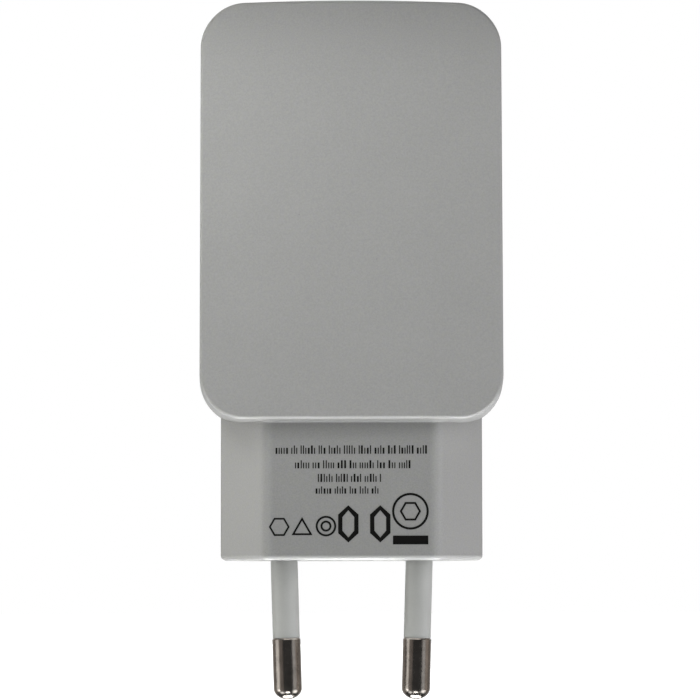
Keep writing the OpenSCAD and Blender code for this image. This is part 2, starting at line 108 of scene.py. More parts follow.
FACE_FALL_FROM = 65.0
BEND_X = (-14, -11, -8, -5, -2.5, 0, 2.5, 5, 8, 11, 14)  # cuts across the covers, so that they bend
BEND_Z = (66.5, 68, 69.5, 71, 72.5, 74, 75)
PLATE_SIZE = (32.0, 11.0, 1.5)            # opening for the face plate: width, depth, corner radius
FLANGE_SIZE = (28.6, 13.0, 1.0)           # the plate's rear flange
CARRIER_SIZE = (25.0, 7.0, 1.0)           # the plug carrier's front
PLAY = 0.05                               # between a cover's opening and what fills it
PAST = 1.0                                # how far a cutter runs past what it cuts
PIN_R, SLEEVE_R, CORE_R = 1.95, 1.86, 1.5  # bare pin, sleeve, and the pin inside the sleeve
PIN_L, SLEEVE_L = 19.0, 10.6              # from the engagement face to the tip and to the bare metal
PIN_NOSE = 1.5                            # height of the domed nose
COLLAR_R, COLLAR_LO, COLLAR_HI = 2.3, 2.2, 3.6  # a pin's collar, locked in the carrier
CUP_R, CUP_LO, CUP_HI = 0.7, 5.8, 8.0     # bore of its solder cup
PITCH, TIP_PITCH = 18.6, 17.5             # between the pins at the engagement face and at the tips
PIN_TILT = math.asin((PITCH - TIP_PITCH) / 2 / PIN_L)
USB_AT = 7.8                              # a socket's distance from the middle
USB_W, USB_H, USB_DEEP = 12.5, 5.12, 14.0
SHEET = 0.3                               # steel of the USB shells
LEAF_AT = 3.2                             # a spring leaf's distance from the middle of its socket
LED_Y = 2.36                              # the light window's place in the face plate
INK = 0.02                                # how far the print stands out, and how deep it goes in


# ---- mesh building ----

def new_object(name, verts, faces):
    """A closed mesh from points in millimetres, normals outwards."""
    bm = bmesh.new()
    made = [bm.verts.new(Vector(v) * MM) for v in verts]
    for f in faces:
        bm.faces.new([made[i] for i in f])
    bmesh.ops.recalc_face_normals(bm, faces=bm.faces)
    mesh = bpy.data.meshes.new(name)
    bm.to_mesh(mesh)
    bm.free()
    obj = bpy.data.objects.new(name, mesh)
    bpy.context.scene.collection.objects.link(obj)
    return obj


def loft(name, rings):
    """A solid through a stack of closed outlines with the same number of points."""
    n = len(rings[0])
    verts = [p for ring in rings for p in ring]
    faces = [
        [k * n + i, k * n + (i + 1) % n, (k + 1) * n + (i + 1) % n, (k + 1) * n + i]
        for k in range(len(rings) - 1)
        for i in range(n)
    ]
    faces.append(list(range(n - 1, -1, -1)))
    faces.append(list(range((len(rings) - 1) * n, len(rings) * n)))
    return new_object(name, verts, faces)


def lathe(name, profile, matrix, steps=72, hollow=False):
    """A turned solid from (radius, height) points. A hollow profile is a closed loop off the axis."""
    verts, faces, rows = [], [], []
    for r, h in profile:
        if r < 1e-6:
            rows.append([len(verts)] * steps)
            verts.append(matrix @ Vector((0, 0, h)))
            continue
        rows.append(list(range(len(verts), len(verts) + steps)))
        for k in range(steps):
            a = 2 * math.pi * k / steps
            verts.append(matrix @ Vector((r * math.cos(a), r * math.sin(a), h)))
    pairs = list(zip(rows, rows[1:] + rows[:1])) if hollow else list(zip(rows, rows[1:]))
    for low, high in pairs:
        for k in range(steps):
            corners = [low[k], low[(k + 1) % steps], high[(k + 1) % steps], high[k]]
            face = list(dict.fromkeys(corners))
            if len(face) > 2:
                faces.append(face)
    return new_object(name, verts, faces)


def arc(cx, cy, r, a0, a1, steps):
    """Points on an arc, angles in degrees."""
    angles = [math.radians(a0 + (a1 - a0) * i / steps) for i in range(steps + 1)]
    return [(cx + r * math.cos(a), cy + r * math.sin(a)) for a in angles]


def round_rect(w, l, r, out=0.0, steps=10):
    """Outline of a rectangle with round corners, moved outwards by out."""
    points = []
    for k, (sx, sy) in enumerate(((1, 1), (-1, 1), (-1, -1), (1, -1))):
        points += arc(sx * (w / 2 - r), sy * (l / 2 - r), max(r + out, 0.01), 90 * k, 90 * k + 90, steps)
    return points


def upright(outline, z):
    """An outline lying in the XY plane at height z."""
    return [(x, y, z) for x, y in outline]


def prism(name, w, l, r, levels, steps=10):
    """A round-cornered block along Z. Each level is (z, out)."""
    return loft(name, [upright(round_rect(w, l, r, out, steps), z) for z, out in levels])


def boolean(obj, other, operation):
    """Joins other into obj, or cuts it away, and removes other."""
    modifier = obj.modifiers.new("cut", "BOOLEAN")
    modifier.operation = operation
    modifier.solver = "EXACT"
    modifier.object = other
    apply_modifiers(obj)
    bpy.data.objects.remove(other)


def apply_modifiers(obj):
    """Makes the result of the object's modifiers its mesh."""
    depsgraph = bpy.context.evaluated_depsgraph_get()
    mesh = bpy.data.meshes.new_from_object(obj.evaluated_get(depsgraph))
    obj.modifiers.clear()
    obj.data = mesh


def edit(obj, change):
    """Runs change(bm) on the object's mesh."""
    bm = bmesh.new()
    bm.from_mesh(obj.data)
    change(bm)
    bm.to_mesh(obj.data)
    bm.free()


def smooth(obj, angle=28):
    """Smooth shading, with edges sharper than the angle kept, and flat faces kept flat."""
    def mark(bm):
        bmesh.ops.remove_doubles(bm, verts=bm.verts, dist=2e-7)
        bmesh.ops.dissolve_degenerate(bm, edges=bm.edges, dist=1e-7)
        for face in bm.faces:
            face.smooth = True
        for edge in bm.edges:
            edge.smooth = len(edge.link_faces) == 2 and edge.calc_face_angle() < math.radians(angle)
    edit(obj, mark)
    modifier = obj.modifiers.new("weighted", "WEIGHTED_NORMAL")
    modifier.keep_sharp = True
    return obj


def share(value, start, end):
    """How far value is on its way from start to end, as 0 to 1."""
    return min(max((value - start) / (end - start), 0), 1)


# ---- covers ----

def housing_ring(y, out):
    """The housing's outline at depth y, moved outwards by out."""
    return [(x, y, MID_Z + z) for x, z in round_rect(2 * HALF_W, 2 * HALF_L, CORNER_R, out, 20)]


def housing_half():
    """Outer solid of the front half: seam chamfer, drafted wall, rounded edge, face."""
    face_margin = 2.0
    rings = [housing_ring(0, DRAFT_OUT - SEAM), housing_ring(-SEAM, DRAFT_OUT)]
    for out, y in arc(-EDGE_R, EDGE_R - HALF_T, EDGE_R, 0, -90, 8):
        rings.append(housing_ring(y, out))
    rings.append(housing_ring(-HALF_T, -face_margin))
    return loft("housing_half", rings)


def neck_outline(inset, y_seam=0.0, seam=0.0):
    """Front half of the neck's section, drawn in by inset, with its open side at y_seam."""
    half_w, half_t = NECK_HALF_W - inset, NECK_HALF_T - inset
    shift = inset * (math.sqrt(2) - 1)
    flat_end = NECK_HALF_W - NECK_CHAMFER - shift
    side_end = NECK_HALF_T - NECK_CHAMFER - shift
    tangent = math.tan(math.radians(22.5))
    r = RIDGE_R - inset
    ridge = arc(flat_end - r * tangent, r - half_t, r, -45, -90, 10)
    r = max(NECK_SIDE_R - inset, 0.05)
    corner = arc(half_w - r, r * tangent - side_end, r, 0, -45, 5)
    steps = 6
    start = Vector(corner[-1])
    step = (Vector(ridge[0]) - start) / steps
    chamfer = corner[:-1] + [tuple(start + step * i) for i in range(steps)]
    side = [(half_w - seam, y_seam)] + ([(half_w, y_seam - seam)] if seam else []) + chamfer + ridge
    return side + [(-x, y) for x, y in reversed(side)]


def shoulder_flare(point, grow):
    """Widens the neck's front towards the shoulder, fading out where the housing's corners begin."""
    x, y = point
    return (x, y - grow * share(abs(x), *FILLET_FADE) if y < -1 else y)


def neck_half():
    """Outer solid of the front half of the neck, rounded at the engagement face."""
    rings = []
    for back, z in arc(0, NECK_EDGE_R, NECK_EDGE_R, -90, 0, 6):
        rings.append(upright(neck_outline(NECK_EDGE_R - back, 0, SEAM), z))
    fillet = [(FILLET - dx, NECK_L - FILLET + dz) for dx, dz in arc(0, 0, FILLET, 0, 90, 5)]
    for grow, z in fillet + [(FILLET, NECK_L + PAST)]:
        rings.append(upright([shoulder_flare(p, grow) for p in neck_outline(0, 0, SEAM)], z))
    return loft("neck_half", rings)


def top_fall(x, z):
    """How far the USB end's outline lies below the flat end at x. Its crown lies above it."""
    near = share(z, TOP_FALL_FROM, HOUSING_END)
    return (TOP_ARCH * (x / TOP_ARCH_AT) ** 2 - TOP_RISE) * near * near * (3 - 2 * near)


def side_fall(x, z):
    """How far a side wall leans in at height z, towards the USB end."""
    return math.copysign(SIDE_FALL * share(z, NECK_L, HOUSING_END) * share(abs(x), *SIDE_FADE), x)


def face_fall(z):
    """How far a face leans back at height z, towards the USB end."""
    return FACE_FALL * max((z - FACE_FALL_FROM) / (HOUSING_END - FACE_FALL_FROM), 0) ** 2


def cover(name, side):
    """One moulded half of the case. side is 1 for the front half and -1 for the rear half."""
    obj = housing_half()
    boolean(obj, neck_half(), "UNION")
    for hollow in cover_hollows():
        boolean(obj, hollow, "DIFFERENCE")
    edit(obj, lambda bm: bend_cover(bm, side))
    obj.name = obj.data.name = name
    return smooth(obj)


def cover_hollows():
    """Cutters for a cover: the two rooms inside, then the flared openings at both ends."""
    over_seam = 2.0
    inner = round_rect(2 * (HALF_W - WALL), 2 * (HALF_L - WALL), CORNER_R - WALL)
    room = [[(x, y, MID_Z + z) for x, z in inner] for y in (over_seam, WALL - HALF_T)]
    yield loft("cavity", room)
    neck_room = [upright(neck_outline(WALL, over_seam), z) for z in (END_WALL, NECK_L + 2 * WALL)]
    yield loft("neck_hollow", neck_room)
    flare = 0.5
    levels = [(-PAST, flare), (-flare, flare), (0.2, 0), (END_WALL + PAST, 0)]
    yield prism("carrier_cut", *CARRIER_SIZE, levels)
    flare, top = 0.35, HOUSING_END
    levels = [(top - 2 * WALL, 0), (top - 0.45, 0), (top + 0.2, flare), (top + 2 * PAST, flare)]
    yield prism("plate_cut", *PLATE_SIZE, levels)


def bend_cover(bm, side):
    """Applies the falls towards the USB end, and mirrors the rear half."""
    for x in BEND_X:
        cut(bm, (x * MM, 0, 0), (1, 0, 0))
    for z in BEND_Z:
        cut(bm, (0, 0, z * MM), (0, 0, 1))
    face_only = WALL - HALF_T - 0.2  # the outer face leans back, the inside stays straight
    for v in bm.verts:
        x, y, z = v.co / MM
        if y < face_only:
            y += face_fall(z)
        v.co = Vector((x - side_fall(x, z), y * side, z - top_fall(x, z))) * MM
    bmesh.ops.recalc_face_normals(bm, faces=bm.faces)


def cut(bm, point, normal):
    """Adds edges where a plane crosses the mesh."""
    parts = list(bm.verts) + list(bm.edges) + list(bm.faces)
    bmesh.ops.bisect_plane(bm, geom=parts, dist=1e-7, plane_co=point, plane_no=normal)


# ---- USB end ----

def face_plate():
    """The insert in the USB end: rounded front, rear flange, two flared windows, light hole."""
    front, back = PLATE_HI.z, PLATE_HI.z - 2
    edge_r = 0.25
    edge = [(front - edge_r + dz, dx - edge_r - PLAY) for dx, dz in arc(0, 0, edge_r, 0, 90, 4)]
    obj = prism("usb_plate", *PLATE_SIZE, [(back, -PLAY)] + edge)
    flange = prism("flange", *FLANGE_SIZE, [(PLATE_LO.z, 0), (PLATE_LO.z + 1.1, 0)])
    boolean(obj, flange, "UNION")
    flare, border = 0.4, 0.5
    for side in (-1, 1):
        levels = [(back - PAST, 0), (front - 0.35, 0), (front + 0.05, flare), (front + PAST, flare)]
        window = prism("window", USB_W + 2 * border, USB_H + 2 * border, 0.8, levels, 6)
        window.location.x = side * USB_AT * MM
        boolean(obj, window, "DIFFERENCE")
    r, mouth_r = 0.72, 0.95
    hole = [(0, back - PAST), (r, back - PAST), (r, front - 0.15)]
    hole += [(mouth_r, front + 0.08), (mouth_r, front + PAST), (0, front + PAST)]
    boolean(obj, lathe("hole", hole, Matrix.Translation((0, LED_Y, 0)), 32), "DIFFERENCE")
    return smooth(obj)


def led_lens():
    """Light window with a shallow dome and its collar behind the plate."""
    low, top = (corner.z for corner in box_mm("led_window"))
    r, collar_r, bulge = 0.7, 1.0, 0.12
    dome = [(r * x, top - bulge + bulge * y) for x, y in arc(0, 0, 1, 0, 90, 6)]
    profile = [(0, low), (collar_r - 0.08, low), (collar_r, low + 0.08), (collar_r, low + 0.7)]
    profile += [(r, low + 0.75)] + dome[:-1] + [(0, top)]
    return smooth(lathe("led_lens", profile, Matrix.Translation((0, LED_Y, 0)), 40))


def usb_shell(node, side):
    """The folded steel shell of a socket: rolled lip, spring leaves, solder legs."""
    mouth = box_mm(node)[1].z
    back = mouth - USB_DEEP
    outer = [(back, 0), (mouth - 0.12, 0), (mouth, -0.1)]
    obj = prism(node + "_liner", USB_W + 2 * SHEET, USB_H + 2 * SHEET, 2 * SHEET, outer, 6)
    inner = [(back - PAST, 0), (mouth - 0.5, 0), (mouth - 0.1, 0.1), (mouth + PAST, 0.22)]
    boolean(obj, prism("bore", USB_W, USB_H, SHEET, inner, 6), "DIFFERENCE")
    slot_size = (2.2, 9.0, 0.3)
    for x in (-LEAF_AT, LEAF_AT):
        slot = prism("leaf_slot", *slot_size, [(back + 4.5, 0), (back + 11.5, 0)], 4)
        slot.location.x = x * MM
        boolean(obj, slot, "DIFFERENCE")
    edit(obj, lambda bm: add_leaves(bm, back))
    edit(obj, lambda bm: add_legs(bm, back))
    obj.location.x = side * USB_AT * MM
    settle(obj)
    return smooth(obj, angle=35)


def add_leaves(bm, back):
    """Spring leaves that bow in to a contact bump and out again, as curved strips."""
    # each step is the bow, outwards from the bore's wall, and the height above the shell's back
    bow = [(0.05, 4.4), (-0.02, 5.4), (-0.16, 6.6), (-0.34, 7.6)]
    bow += [(-0.42, 8.2), (-0.34, 8.8), (-0.12, 9.6), (0.1, 10.3)]
    half, thick = 0.75, 0.22
    for x in (-LEAF_AT, LEAF_AT):
        for flip in (-1, 1):
            rows = []
            for off, up in bow:
                corners = [(-half, off), (half, off), (half, off + thick), (-half, off + thick)]
                ring = [(x + cx, flip * (USB_H / 2 + cy), back + up) for cx, cy in corners]
                rows.append([bm.verts.new(Vector(p) * MM) for p in ring])
            close_tube(bm, rows)


def add_legs(bm, back):
    """Solder legs on both sides of the shell, tapered at the end."""
    middle, t = back + 3.6, SHEET / 2
    for side in (-1, 1):
        x = side * (USB_W / 2 + t)
        rows = []
        for y, half in ((1.0, 1.1), (4.2, 1.1), (5.0, 0.8), (5.45, 0.45)):
            low, high = middle - half, middle + half
            corners = [(x - t, low), (x + t, low), (x + t, high), (x - t, high)]
            rows.append([bm.verts.new(Vector((cx, y, z)) * MM) for cx, z in corners])
        close_tube(bm, rows)


def close_tube(bm, rows):
    """Faces for a bar through rows of four corners, with both ends closed."""
    faces = [bm.faces.new(rows[0][::-1]), bm.faces.new(rows[-1])]
    for low, high in zip(rows, rows[1:]):
        for k in range(4):
            faces.append(bm.faces.new([low[k], low[(k + 1) % 4], high[(k + 1) % 4], high[k]]))
    bmesh.ops.recalc_face_normals(bm, faces=faces)


def settle(obj):
    """Moves an object's own place into its mesh."""
    bpy.context.view_layer.update()
    obj.data.transform(obj.matrix_world)
    obj.matrix_world = Matrix.Identity(4)


# ---- pins ----

def pin_matrix(side):
    """Place and lean of a pin: the tips are nearer together than the roots."""
    return Matrix.Translation((side * PITCH / 2, 0, 0)) @ Matrix.Rotation(side * PIN_TILT, 4, "Y")


def pin(name, side):
    """Turned pin: blunt rounded nose, bare contact length, core under the sleeve, collar, solder cup."""
    rim, edge, cup_edge = -SLEEVE_L, 0.1, 0.15
    profile = [(PIN_R * x, PIN_NOSE * (1 + y) - PIN_L) for x, y in arc(0, 0, 1, -90, 0, 16)]
    profile += [(PIN_R, -14), (PIN_R, rim - 0.24), (PIN_R - 0.03, rim - 0.19)]
    profile += [(PIN_R - 0.12, rim - 0.03), (PIN_R - 0.16, rim), (CORE_R, rim)]
    profile += [(CORE_R, COLLAR_LO), (COLLAR_R - edge, COLLAR_LO), (COLLAR_R, COLLAR_LO + edge)]
    profile += [(COLLAR_R, COLLAR_HI - edge), (COLLAR_R - edge, COLLAR_HI), (CORE_R, COLLAR_HI)]
    profile += [(CORE_R, CUP_HI - cup_edge), (CORE_R - cup_edge, CUP_HI), (CUP_R + edge, CUP_HI)]
    profile += [(CUP_R, CUP_HI - edge), (CUP_R, CUP_LO), (0, CUP_LO)]
    return smooth(lathe(name, profile, pin_matrix(side), 96))


def sleeve(name, side):
    """Moulded sleeve, from the bare metal up into the carrier, with a rounded rim at its open end."""
    low, high = -SLEEVE_L, END_WALL
    profile = [(CORE_R, low), (SLEEVE_R - 0.06, low), (SLEEVE_R - 0.01, low + 0.05), (SLEEVE_R, low + 0.14)]
    profile += [(SLEEVE_R, low + 4), (SLEEVE_R, -0.02), (SLEEVE_R, high), (CORE_R, high)]
    return smooth(lathe(name, profile, pin_matrix(side), 96, hollow=True))


def carrier():
    """Insulating block behind the engagement face: rounded face, deeper body, bores for the pins."""
    rim = ((0.15, 0), (0.06, 0.04), (0, 0.15))
    obj = prism("plug_carrier", *CARRIER_SIZE, [(dz, -PLAY - dx) for dx, dz in rim] + [(END_WALL, -PLAY)])
    half = neck_outline(WALL + 2 * PLAY)
    outline = half + [(x, -y) for x, y in reversed(half[1:-1])]
    block_t = 2.6
    block = [upright(outline, z) for z in (END_WALL, END_WALL + block_t)]
    boolean(obj, loft("block", block), "UNION")
    boss_r, root, end, edge = 3.2, 3.0, 5.6, 0.15
    boss = [(1.0, root), (boss_r, root), (boss_r, end - edge), (boss_r - edge, end), (1.0, end)]
    for side in (-1, 1):
        boolean(obj, lathe("boss", boss, pin_matrix(side), hollow=True), "UNION")
    mouth_r, top = SLEEVE_R + 0.25, 7.0
    bore = [(0, -PAST), (mouth_r, -PAST), (mouth_r, -0.2), (SLEEVE_R, 0.2), (SLEEVE_R, END_WALL)]
    bore += [(CORE_R, END_WALL), (CORE_R, COLLAR_LO), (COLLAR_R, COLLAR_LO)]
    bore += [(COLLAR_R, COLLAR_HI), (CORE_R, COLLAR_HI), (CORE_R, top), (0, top)]
    for side in (-1, 1):
        boolean(obj, lathe("bore", bore, pin_matrix(side)), "DIFFERENCE")
    return smooth(obj)


# ---- rating print: plain ticks, rings, frames and a bar, with no lettering ----

class Print:
    """Thin inked shapes on the neck's flat."""

    def __init__(self):
        self.bm = bmesh.new()
        self.low, self.high = -NECK_HALF_T - INK, -NECK_HALF_T + INK

    def area(self, outline, hole=None):
        """An inked area. With a hole, both outlines have the same number of points."""
        n = len(outline)

        def row(points, y):
            return [self.bm.verts.new(Vector((x, y, z)) * MM) for x, z in points]

        def wall(a, b):
            return [self.bm.faces.new([a[i], a[(i + 1) % n], b[(i + 1) % n], b[i]]) for i in range(n)]

        tops, backs = row(outline, self.low), row(outline, self.high)
        if hole:
            inner, inner_back = row(hole, self.low), row(hole, self.high)
            made = wall(tops, backs) + wall(inner, inner_back) + wall(tops, inner) + wall(backs, inner_back)
        else:
            made = [self.bm.faces.new(tops), self.bm.faces.new(backs[::-1])] + wall(tops, backs)
        bmesh.ops.recalc_face_normals(self.bm, faces=made)

    def bar(self, x0, x1, z0, z1):
        """A filled bar from x0 to x1 across and z0 to z1 up."""
        self.area([(x0, z0), (x1, z0), (x1, z1), (x0, z1)])

    def ticks(self, x0, x1, z, height, rng):
        """A line of fine upright ticks in groups, as on a greeked text line."""
        widths, gaps, group_gap, short = (0.15, 0.15, 0.25), (0.17, 0.2), 0.28, 0.72
        x, foot, end = x0, z - height / 2, x1 - widths[0]
        while x < end:
            for _ in range(rng.choice((3, 4, 5, 6))):
                if x > end:
                    break
                tall = height if rng.random() < 0.45 else height * short
                width = rng.choice(widths)
                self.bar(x, x + width, foot, foot + tall)
                x += width + rng.choice(gaps)
            x += group_gap

    def ring(self, cx, cz, r, width, sides=40, turn=0.0, tall=1.0):
        """A ring or an even-sided frame, tall times as high as it is wide."""
        def at(radius):
            high = radius + r * (tall - 1)
            angles = [turn + 2 * math.pi * k / sides for k in range(sides)]
            return [(cx + radius * math.cos(a), cz + high * math.sin(a)) for a in angles]
        self.area(at(r), at(r - width))

    def done(self, name):
        """The finished object."""
        mesh = bpy.data.meshes.new(name)
        self.bm.to_mesh(mesh)
        self.bm.free()
        obj = bpy.data.objects.new(name, mesh)
        bpy.context.scene.collection.objects.link(obj)
        return obj


def rating_print():
    """Four lines of ticks, and below them a row of plain signs."""
    rng = random.Random(5)
    ink = Print()
    # each line is its two ends, its middle height and the height of its ticks
    lines = (
        (-10.35, 10.15, 15.0, 1.15),
        (-7.7, 8.1, 13.0, 1.1),
        (-4.6, 4.0, 11.15, 1.1),
        (-4.9, 4.2, 9.5, 1.0),
    )
    for line in lines:
        ink.ticks(*line, rng)
    on_end = math.pi / 2
    ink.ring(-9.85, 4.5, 1.42, 0.29, sides=6)
    ink.ring(-6.75, 4.2, 1.65, 0.52, sides=3, turn=on_end)
    for r in (1.4, 0.75):
        ink.ring(-3.5, 4.6, r, 0.28)
    for cx in (-0.46, 3.88):
        ink.ring(cx, 4.9, 1.6, 0.68, sides=6, turn=on_end, tall=1.58)
    for r, sides in ((2.5, 40), (1.45, 6)):
        ink.ring(7.98, 6.6, r, 0.31, sides)
    ink.bar(5.6, 10.4, 2.1, 3.3)
    return ink.done("rating_print")


# ---- materials ----

def tree(name):
    """A new material's nodes: a Principled shader and object coordinates."""
    material = bpy.data.materials.new(name)
    material.use_nodes = True
    nodes, links = material.node_tree.nodes, material.node_tree.links
    shader = nodes["Principled BSDF"]
    coords = nodes.new("ShaderNodeTexCoord").outputs["Object"]
    return material, nodes, links, shader, coords


def stretched(nodes, links, coords, scale):
    """Coordinates scaled along each axis, for streaks and brushing."""
    mapping = nodes.new("ShaderNodeMapping")
    mapping.inputs["Scale"].default_value = scale
    links.new(coords, mapping.inputs["Vector"])
    return mapping.outputs["Vector"]


def noise(nodes, links, coords, size_mm, detail=3.0, roughness=0.55):
    """Noise whose features are about size_mm across."""
    node = nodes.new("ShaderNodeTexNoise")
    node.inputs["Scale"].default_value = 1 / (size_mm * MM)
    node.inputs["Detail"].default_value = detail
    node.inputs["Roughness"].default_value = roughness
    links.new(coords, node.inputs["Vector"])
    return node.outputs["Fac"]


def cells(nodes, links, coords, size_mm):
    """How far each point is from its cell's middle, in scattered cells about size_mm across."""
    node = nodes.new("ShaderNodeTexVoronoi")
    node.inputs["Scale"].default_value = 1 / (size_mm * MM)
    links.new(coords, node.inputs["Vector"])
    return node.outputs["Distance"]


def maths(nodes, links, operation, *values):
    """A math node on one or two sockets."""
    node = nodes.new("ShaderNodeMath")
    node.operation = operation
    for value, socket in zip(values, node.inputs):
        links.new(value, socket)
    return node.outputs[0]


def ramp(nodes, links, fac, stops):
    """Colour ramp from (position, colour) stops."""
    node = nodes.new("ShaderNodeValToRGB")
    elements = node.color_ramp.elements
    while len(elements) < len(stops):
        elements.new(0.5)
    for element, (position, colour) in zip(elements, stops):
        element.position = position
        element.color = (*colour, 1)
    links.new(fac, node.inputs["Fac"])
    return node.outputs["Color"]


def span(nodes, links, fac, low, high, from_low=0.3, from_high=0.7):
    """Maps from_low to from_high on to low to high, with soft ends."""
    node = nodes.new("ShaderNodeMapRange")
    node.interpolation_type = "SMOOTHSTEP"
    limits = {"From Min": from_low, "From Max": from_high, "To Min": low, "To Max": high}
    for name, value in limits.items():
        node.inputs[name].default_value = value
    links.new(fac, node.inputs["Value"])
    return node.outputs["Result"]


def mix(nodes, links, fac, a, b, blend="MIX"):
    """Colour mix. a and b are colours or sockets."""
    node = nodes.new("ShaderNodeMix")
    node.data_type = "RGBA"
    node.blend_type = blend
    for value, socket in ((fac, node.inputs["Factor"]), (a, node.inputs[6]), (b, node.inputs[7])):
        if hasattr(value, "links"):
            links.new(value, socket)
        elif isinstance(value, (int, float)):
            socket.default_value = value
        else:
            socket.default_value = (*value, 1)
    return node.outputs[2]


def multiplied(nodes, links, a, b):
    """One colour times another."""
    return mix(nodes, links, 1.0, a, b, "MULTIPLY")


def bump(nodes, links, shader, heights):
    """Bumps from (height, depth in mm) pairs, one after another."""
    normal = None
    for height, depth in heights:
        node = nodes.new("ShaderNodeBump")
        node.inputs["Strength"].default_value = 1.0
        node.inputs["Distance"].default_value = depth * MM
        links.new(height, node.inputs["Height"])
        if normal:
            links.new(normal, node.inputs["Normal"])
        normal = node.outputs["Normal"]
    links.new(normal, shader.inputs["Normal"])


def scaled(colour, k):
    """A colour made k times as bright."""
    return tuple(min(c * k, 1) for c in colour)


def cloudy(nodes, links, coords, colour, size_mm, darker, lighter, detail=3.0):
    """The colour with soft clouds, from darker to lighter times itself."""
    cloud = noise(nodes, links, coords, size_mm, detail)
    return ramp(nodes, links, cloud, [(0.3, scaled(colour, darker)), (0.7, scaled(colour, lighter))])


def moulded(name, colour, rough, grain_mm, depth, vary=0.08, coat=0.0, clear=0.0, specular=0.5):
    """Moulded plastic or lacquer: fine grain, slight cloudiness, uneven gloss. depth is in mm."""
    material, nodes, links, shader, coords = tree(name)
    fine = noise(nodes, links, coords, grain_mm, 4, 0.6)
    base = cloudy(nodes, links, coords, colour, 6, 1 - vary / 2, 1 + vary / 2)
    speckled = ramp(nodes, links, fine, [(0.3, (1 - vary,) * 3), (0.7, (1, 1, 1))])
    links.new(multiplied(nodes, links, base, speckled), shader.inputs["Base Color"])
    links.new(span(nodes, links, fine, rough - 0.06, rough + 0.06), shader.inputs["Roughness"])
    shader.inputs["Coat Weight"].default_value = coat
    shader.inputs["Coat Roughness"].default_value = 0.12
    shader.inputs["Transmission Weight"].default_value = clear
    shader.inputs["Specular IOR Level"].default_value = specular
    bump(nodes, links, shader, [(fine, depth)])
    return material


def printing_ink(name):
    """Flat black ink with little sheen."""
    return moulded(name, (0.005, 0.0047, 0.0045), 0.6, 0.1, 0.002, 0.2, specular=0.2)


def pearl_paint(name, colour):
    """Satin pearl lacquer on the case: fine sparkle grain, a few dark specks, slight orange peel."""
    material, nodes, links, shader, coords = tree(name)
    grain = noise(nodes, links, coords, 0.2, 5, 0.7)
    links.new(pearl_colour(nodes, links, coords, colour, grain), shader.inputs["Base Color"])
    flakes = cells(nodes, links, coords, 0.11)
    links.new(span(nodes, links, flakes, 0.36, 0.46), shader.inputs["Roughness"])
    shader.inputs["Metallic"].default_value = 0.1
    shader.inputs["Specular IOR Level"].default_value = 0.5
    shader.inputs["Coat Weight"].default_value = 0.5
    shader.inputs["Coat Roughness"].default_value = 0.22
    peel = noise(nodes, links, coords, 0.5, 2)
    bump(nodes, links, shader, [(grain, 0.0016), (peel, 0.0025)])
    return material


def pearl_colour(nodes, links, coords, colour, grain):
    """The lacquer's colour: clouds, sparkle, a blue to yellow mottle, specks, and painted shade on the
    neck's recessed flats.
    """
    sparkle = ramp(nodes, links, grain, [(0.32, (0.83, 0.835, 0.84)), (0.68, (1.0, 1.0, 1.0))])
    base = cloudy(nodes, links, coords, colour, 9, 0.985, 1.015, 2)
    toned = multiplied(nodes, links, base, sparkle)
    mottle = noise(nodes, links, coords, 0.7, 3, 0.6)
    tint = ramp(nodes, links, mottle, [(0.35, (0.985, 0.98, 1.0)), (0.65, (1.0, 1.0, 0.965))])
    toned = multiplied(nodes, links, toned, tint)
    specks = cells(nodes, links, coords, 5.5)
    dot = span(nodes, links, specks, 0.6, 0.0, 0.012, 0.024)
    toned = mix(nodes, links, dot, toned, scaled(colour, 0.45))
    # painted shade: the printed flats between the neck's ridges, recessed under the shoulder, are darkened
    # in the colour; the fine spark grain is the same over the whole case
    painted_shade = multiplied(nodes, links, toned, (0.84, 0.845, 0.84))
    return mix(nodes, links, label_flat(nodes, links, coords), toned, painted_shade)


def label_flat(nodes, links, coords):
    """1 on the neck between the two ridges, 0 elsewhere, with soft edges: where the painted shade goes."""
    split = nodes.new("ShaderNodeSeparateXYZ")
    links.new(coords, split.inputs["Vector"])
    off_middle = maths(nodes, links, "ABSOLUTE", split.outputs["X"])
    across = span(nodes, links, off_middle, 1, 0, 10.5 * MM, 11.5 * MM)
    along = span(nodes, links, split.outputs["Z"], 1, 0, (NECK_L - 0.05) * MM, (NECK_L + 0.05) * MM)
    return maths(nodes, links, "MULTIPLY", across, along)


def metal(name, colour, rough, streak, depth=0.0008, vary=0.1):
    """Plated or drawn metal with fine streaks along one axis and uneven gloss."""
    material, nodes, links, shader, coords = tree(name)
    lines = noise(nodes, links, stretched(nodes, links, coords, streak), 8, 5, 0.65)
    tint = cloudy(nodes, links, coords, colour, 1.6, 1 - vary, 1 + vary / 2)
    links.new(tint, shader.inputs["Base Color"])
    links.new(span(nodes, links, lines, rough - 0.05, rough + 0.07), shader.inputs["Roughness"])
    shader.inputs["Metallic"].default_value = 1.0
    bump(nodes, links, shader, [(lines, depth)])
    return material


def wound(name, colour, wire_mm, axis):
    """Enamelled wire laid side by side: ridges across the axis of the coil, with painted shade between the
    turns and a painted highlight on their crests.
    """
    material, nodes, links, shader, coords = tree(name)
    wave = nodes.new("ShaderNodeTexWave")
    wave.bands_direction = axis
    band = 0.314  # the texture's own bands are 2 pi / 20 wide
    wave.inputs["Scale"].default_value = band / (wire_mm * MM)
    wave.inputs["Distortion"].default_value = 0.4
    links.new(coords, wave.inputs["Vector"])
    ridges = wave.outputs["Fac"]
    # painted shade in the grooves between the turns and a painted highlight along their crests, following
    # the ridges
    stops = [(0.0, scaled(colour, 0.35)), (0.5, colour), (1.0, scaled(colour, 1.25))]
    links.new(ramp(nodes, links, ridges, stops), shader.inputs["Base Color"])
    shader.inputs["Metallic"].default_value = 0.7
    shader.inputs["Roughness"].default_value = 0.32
    bump(nodes, links, shader, [(ridges, wire_mm * 0.4)])
    return material


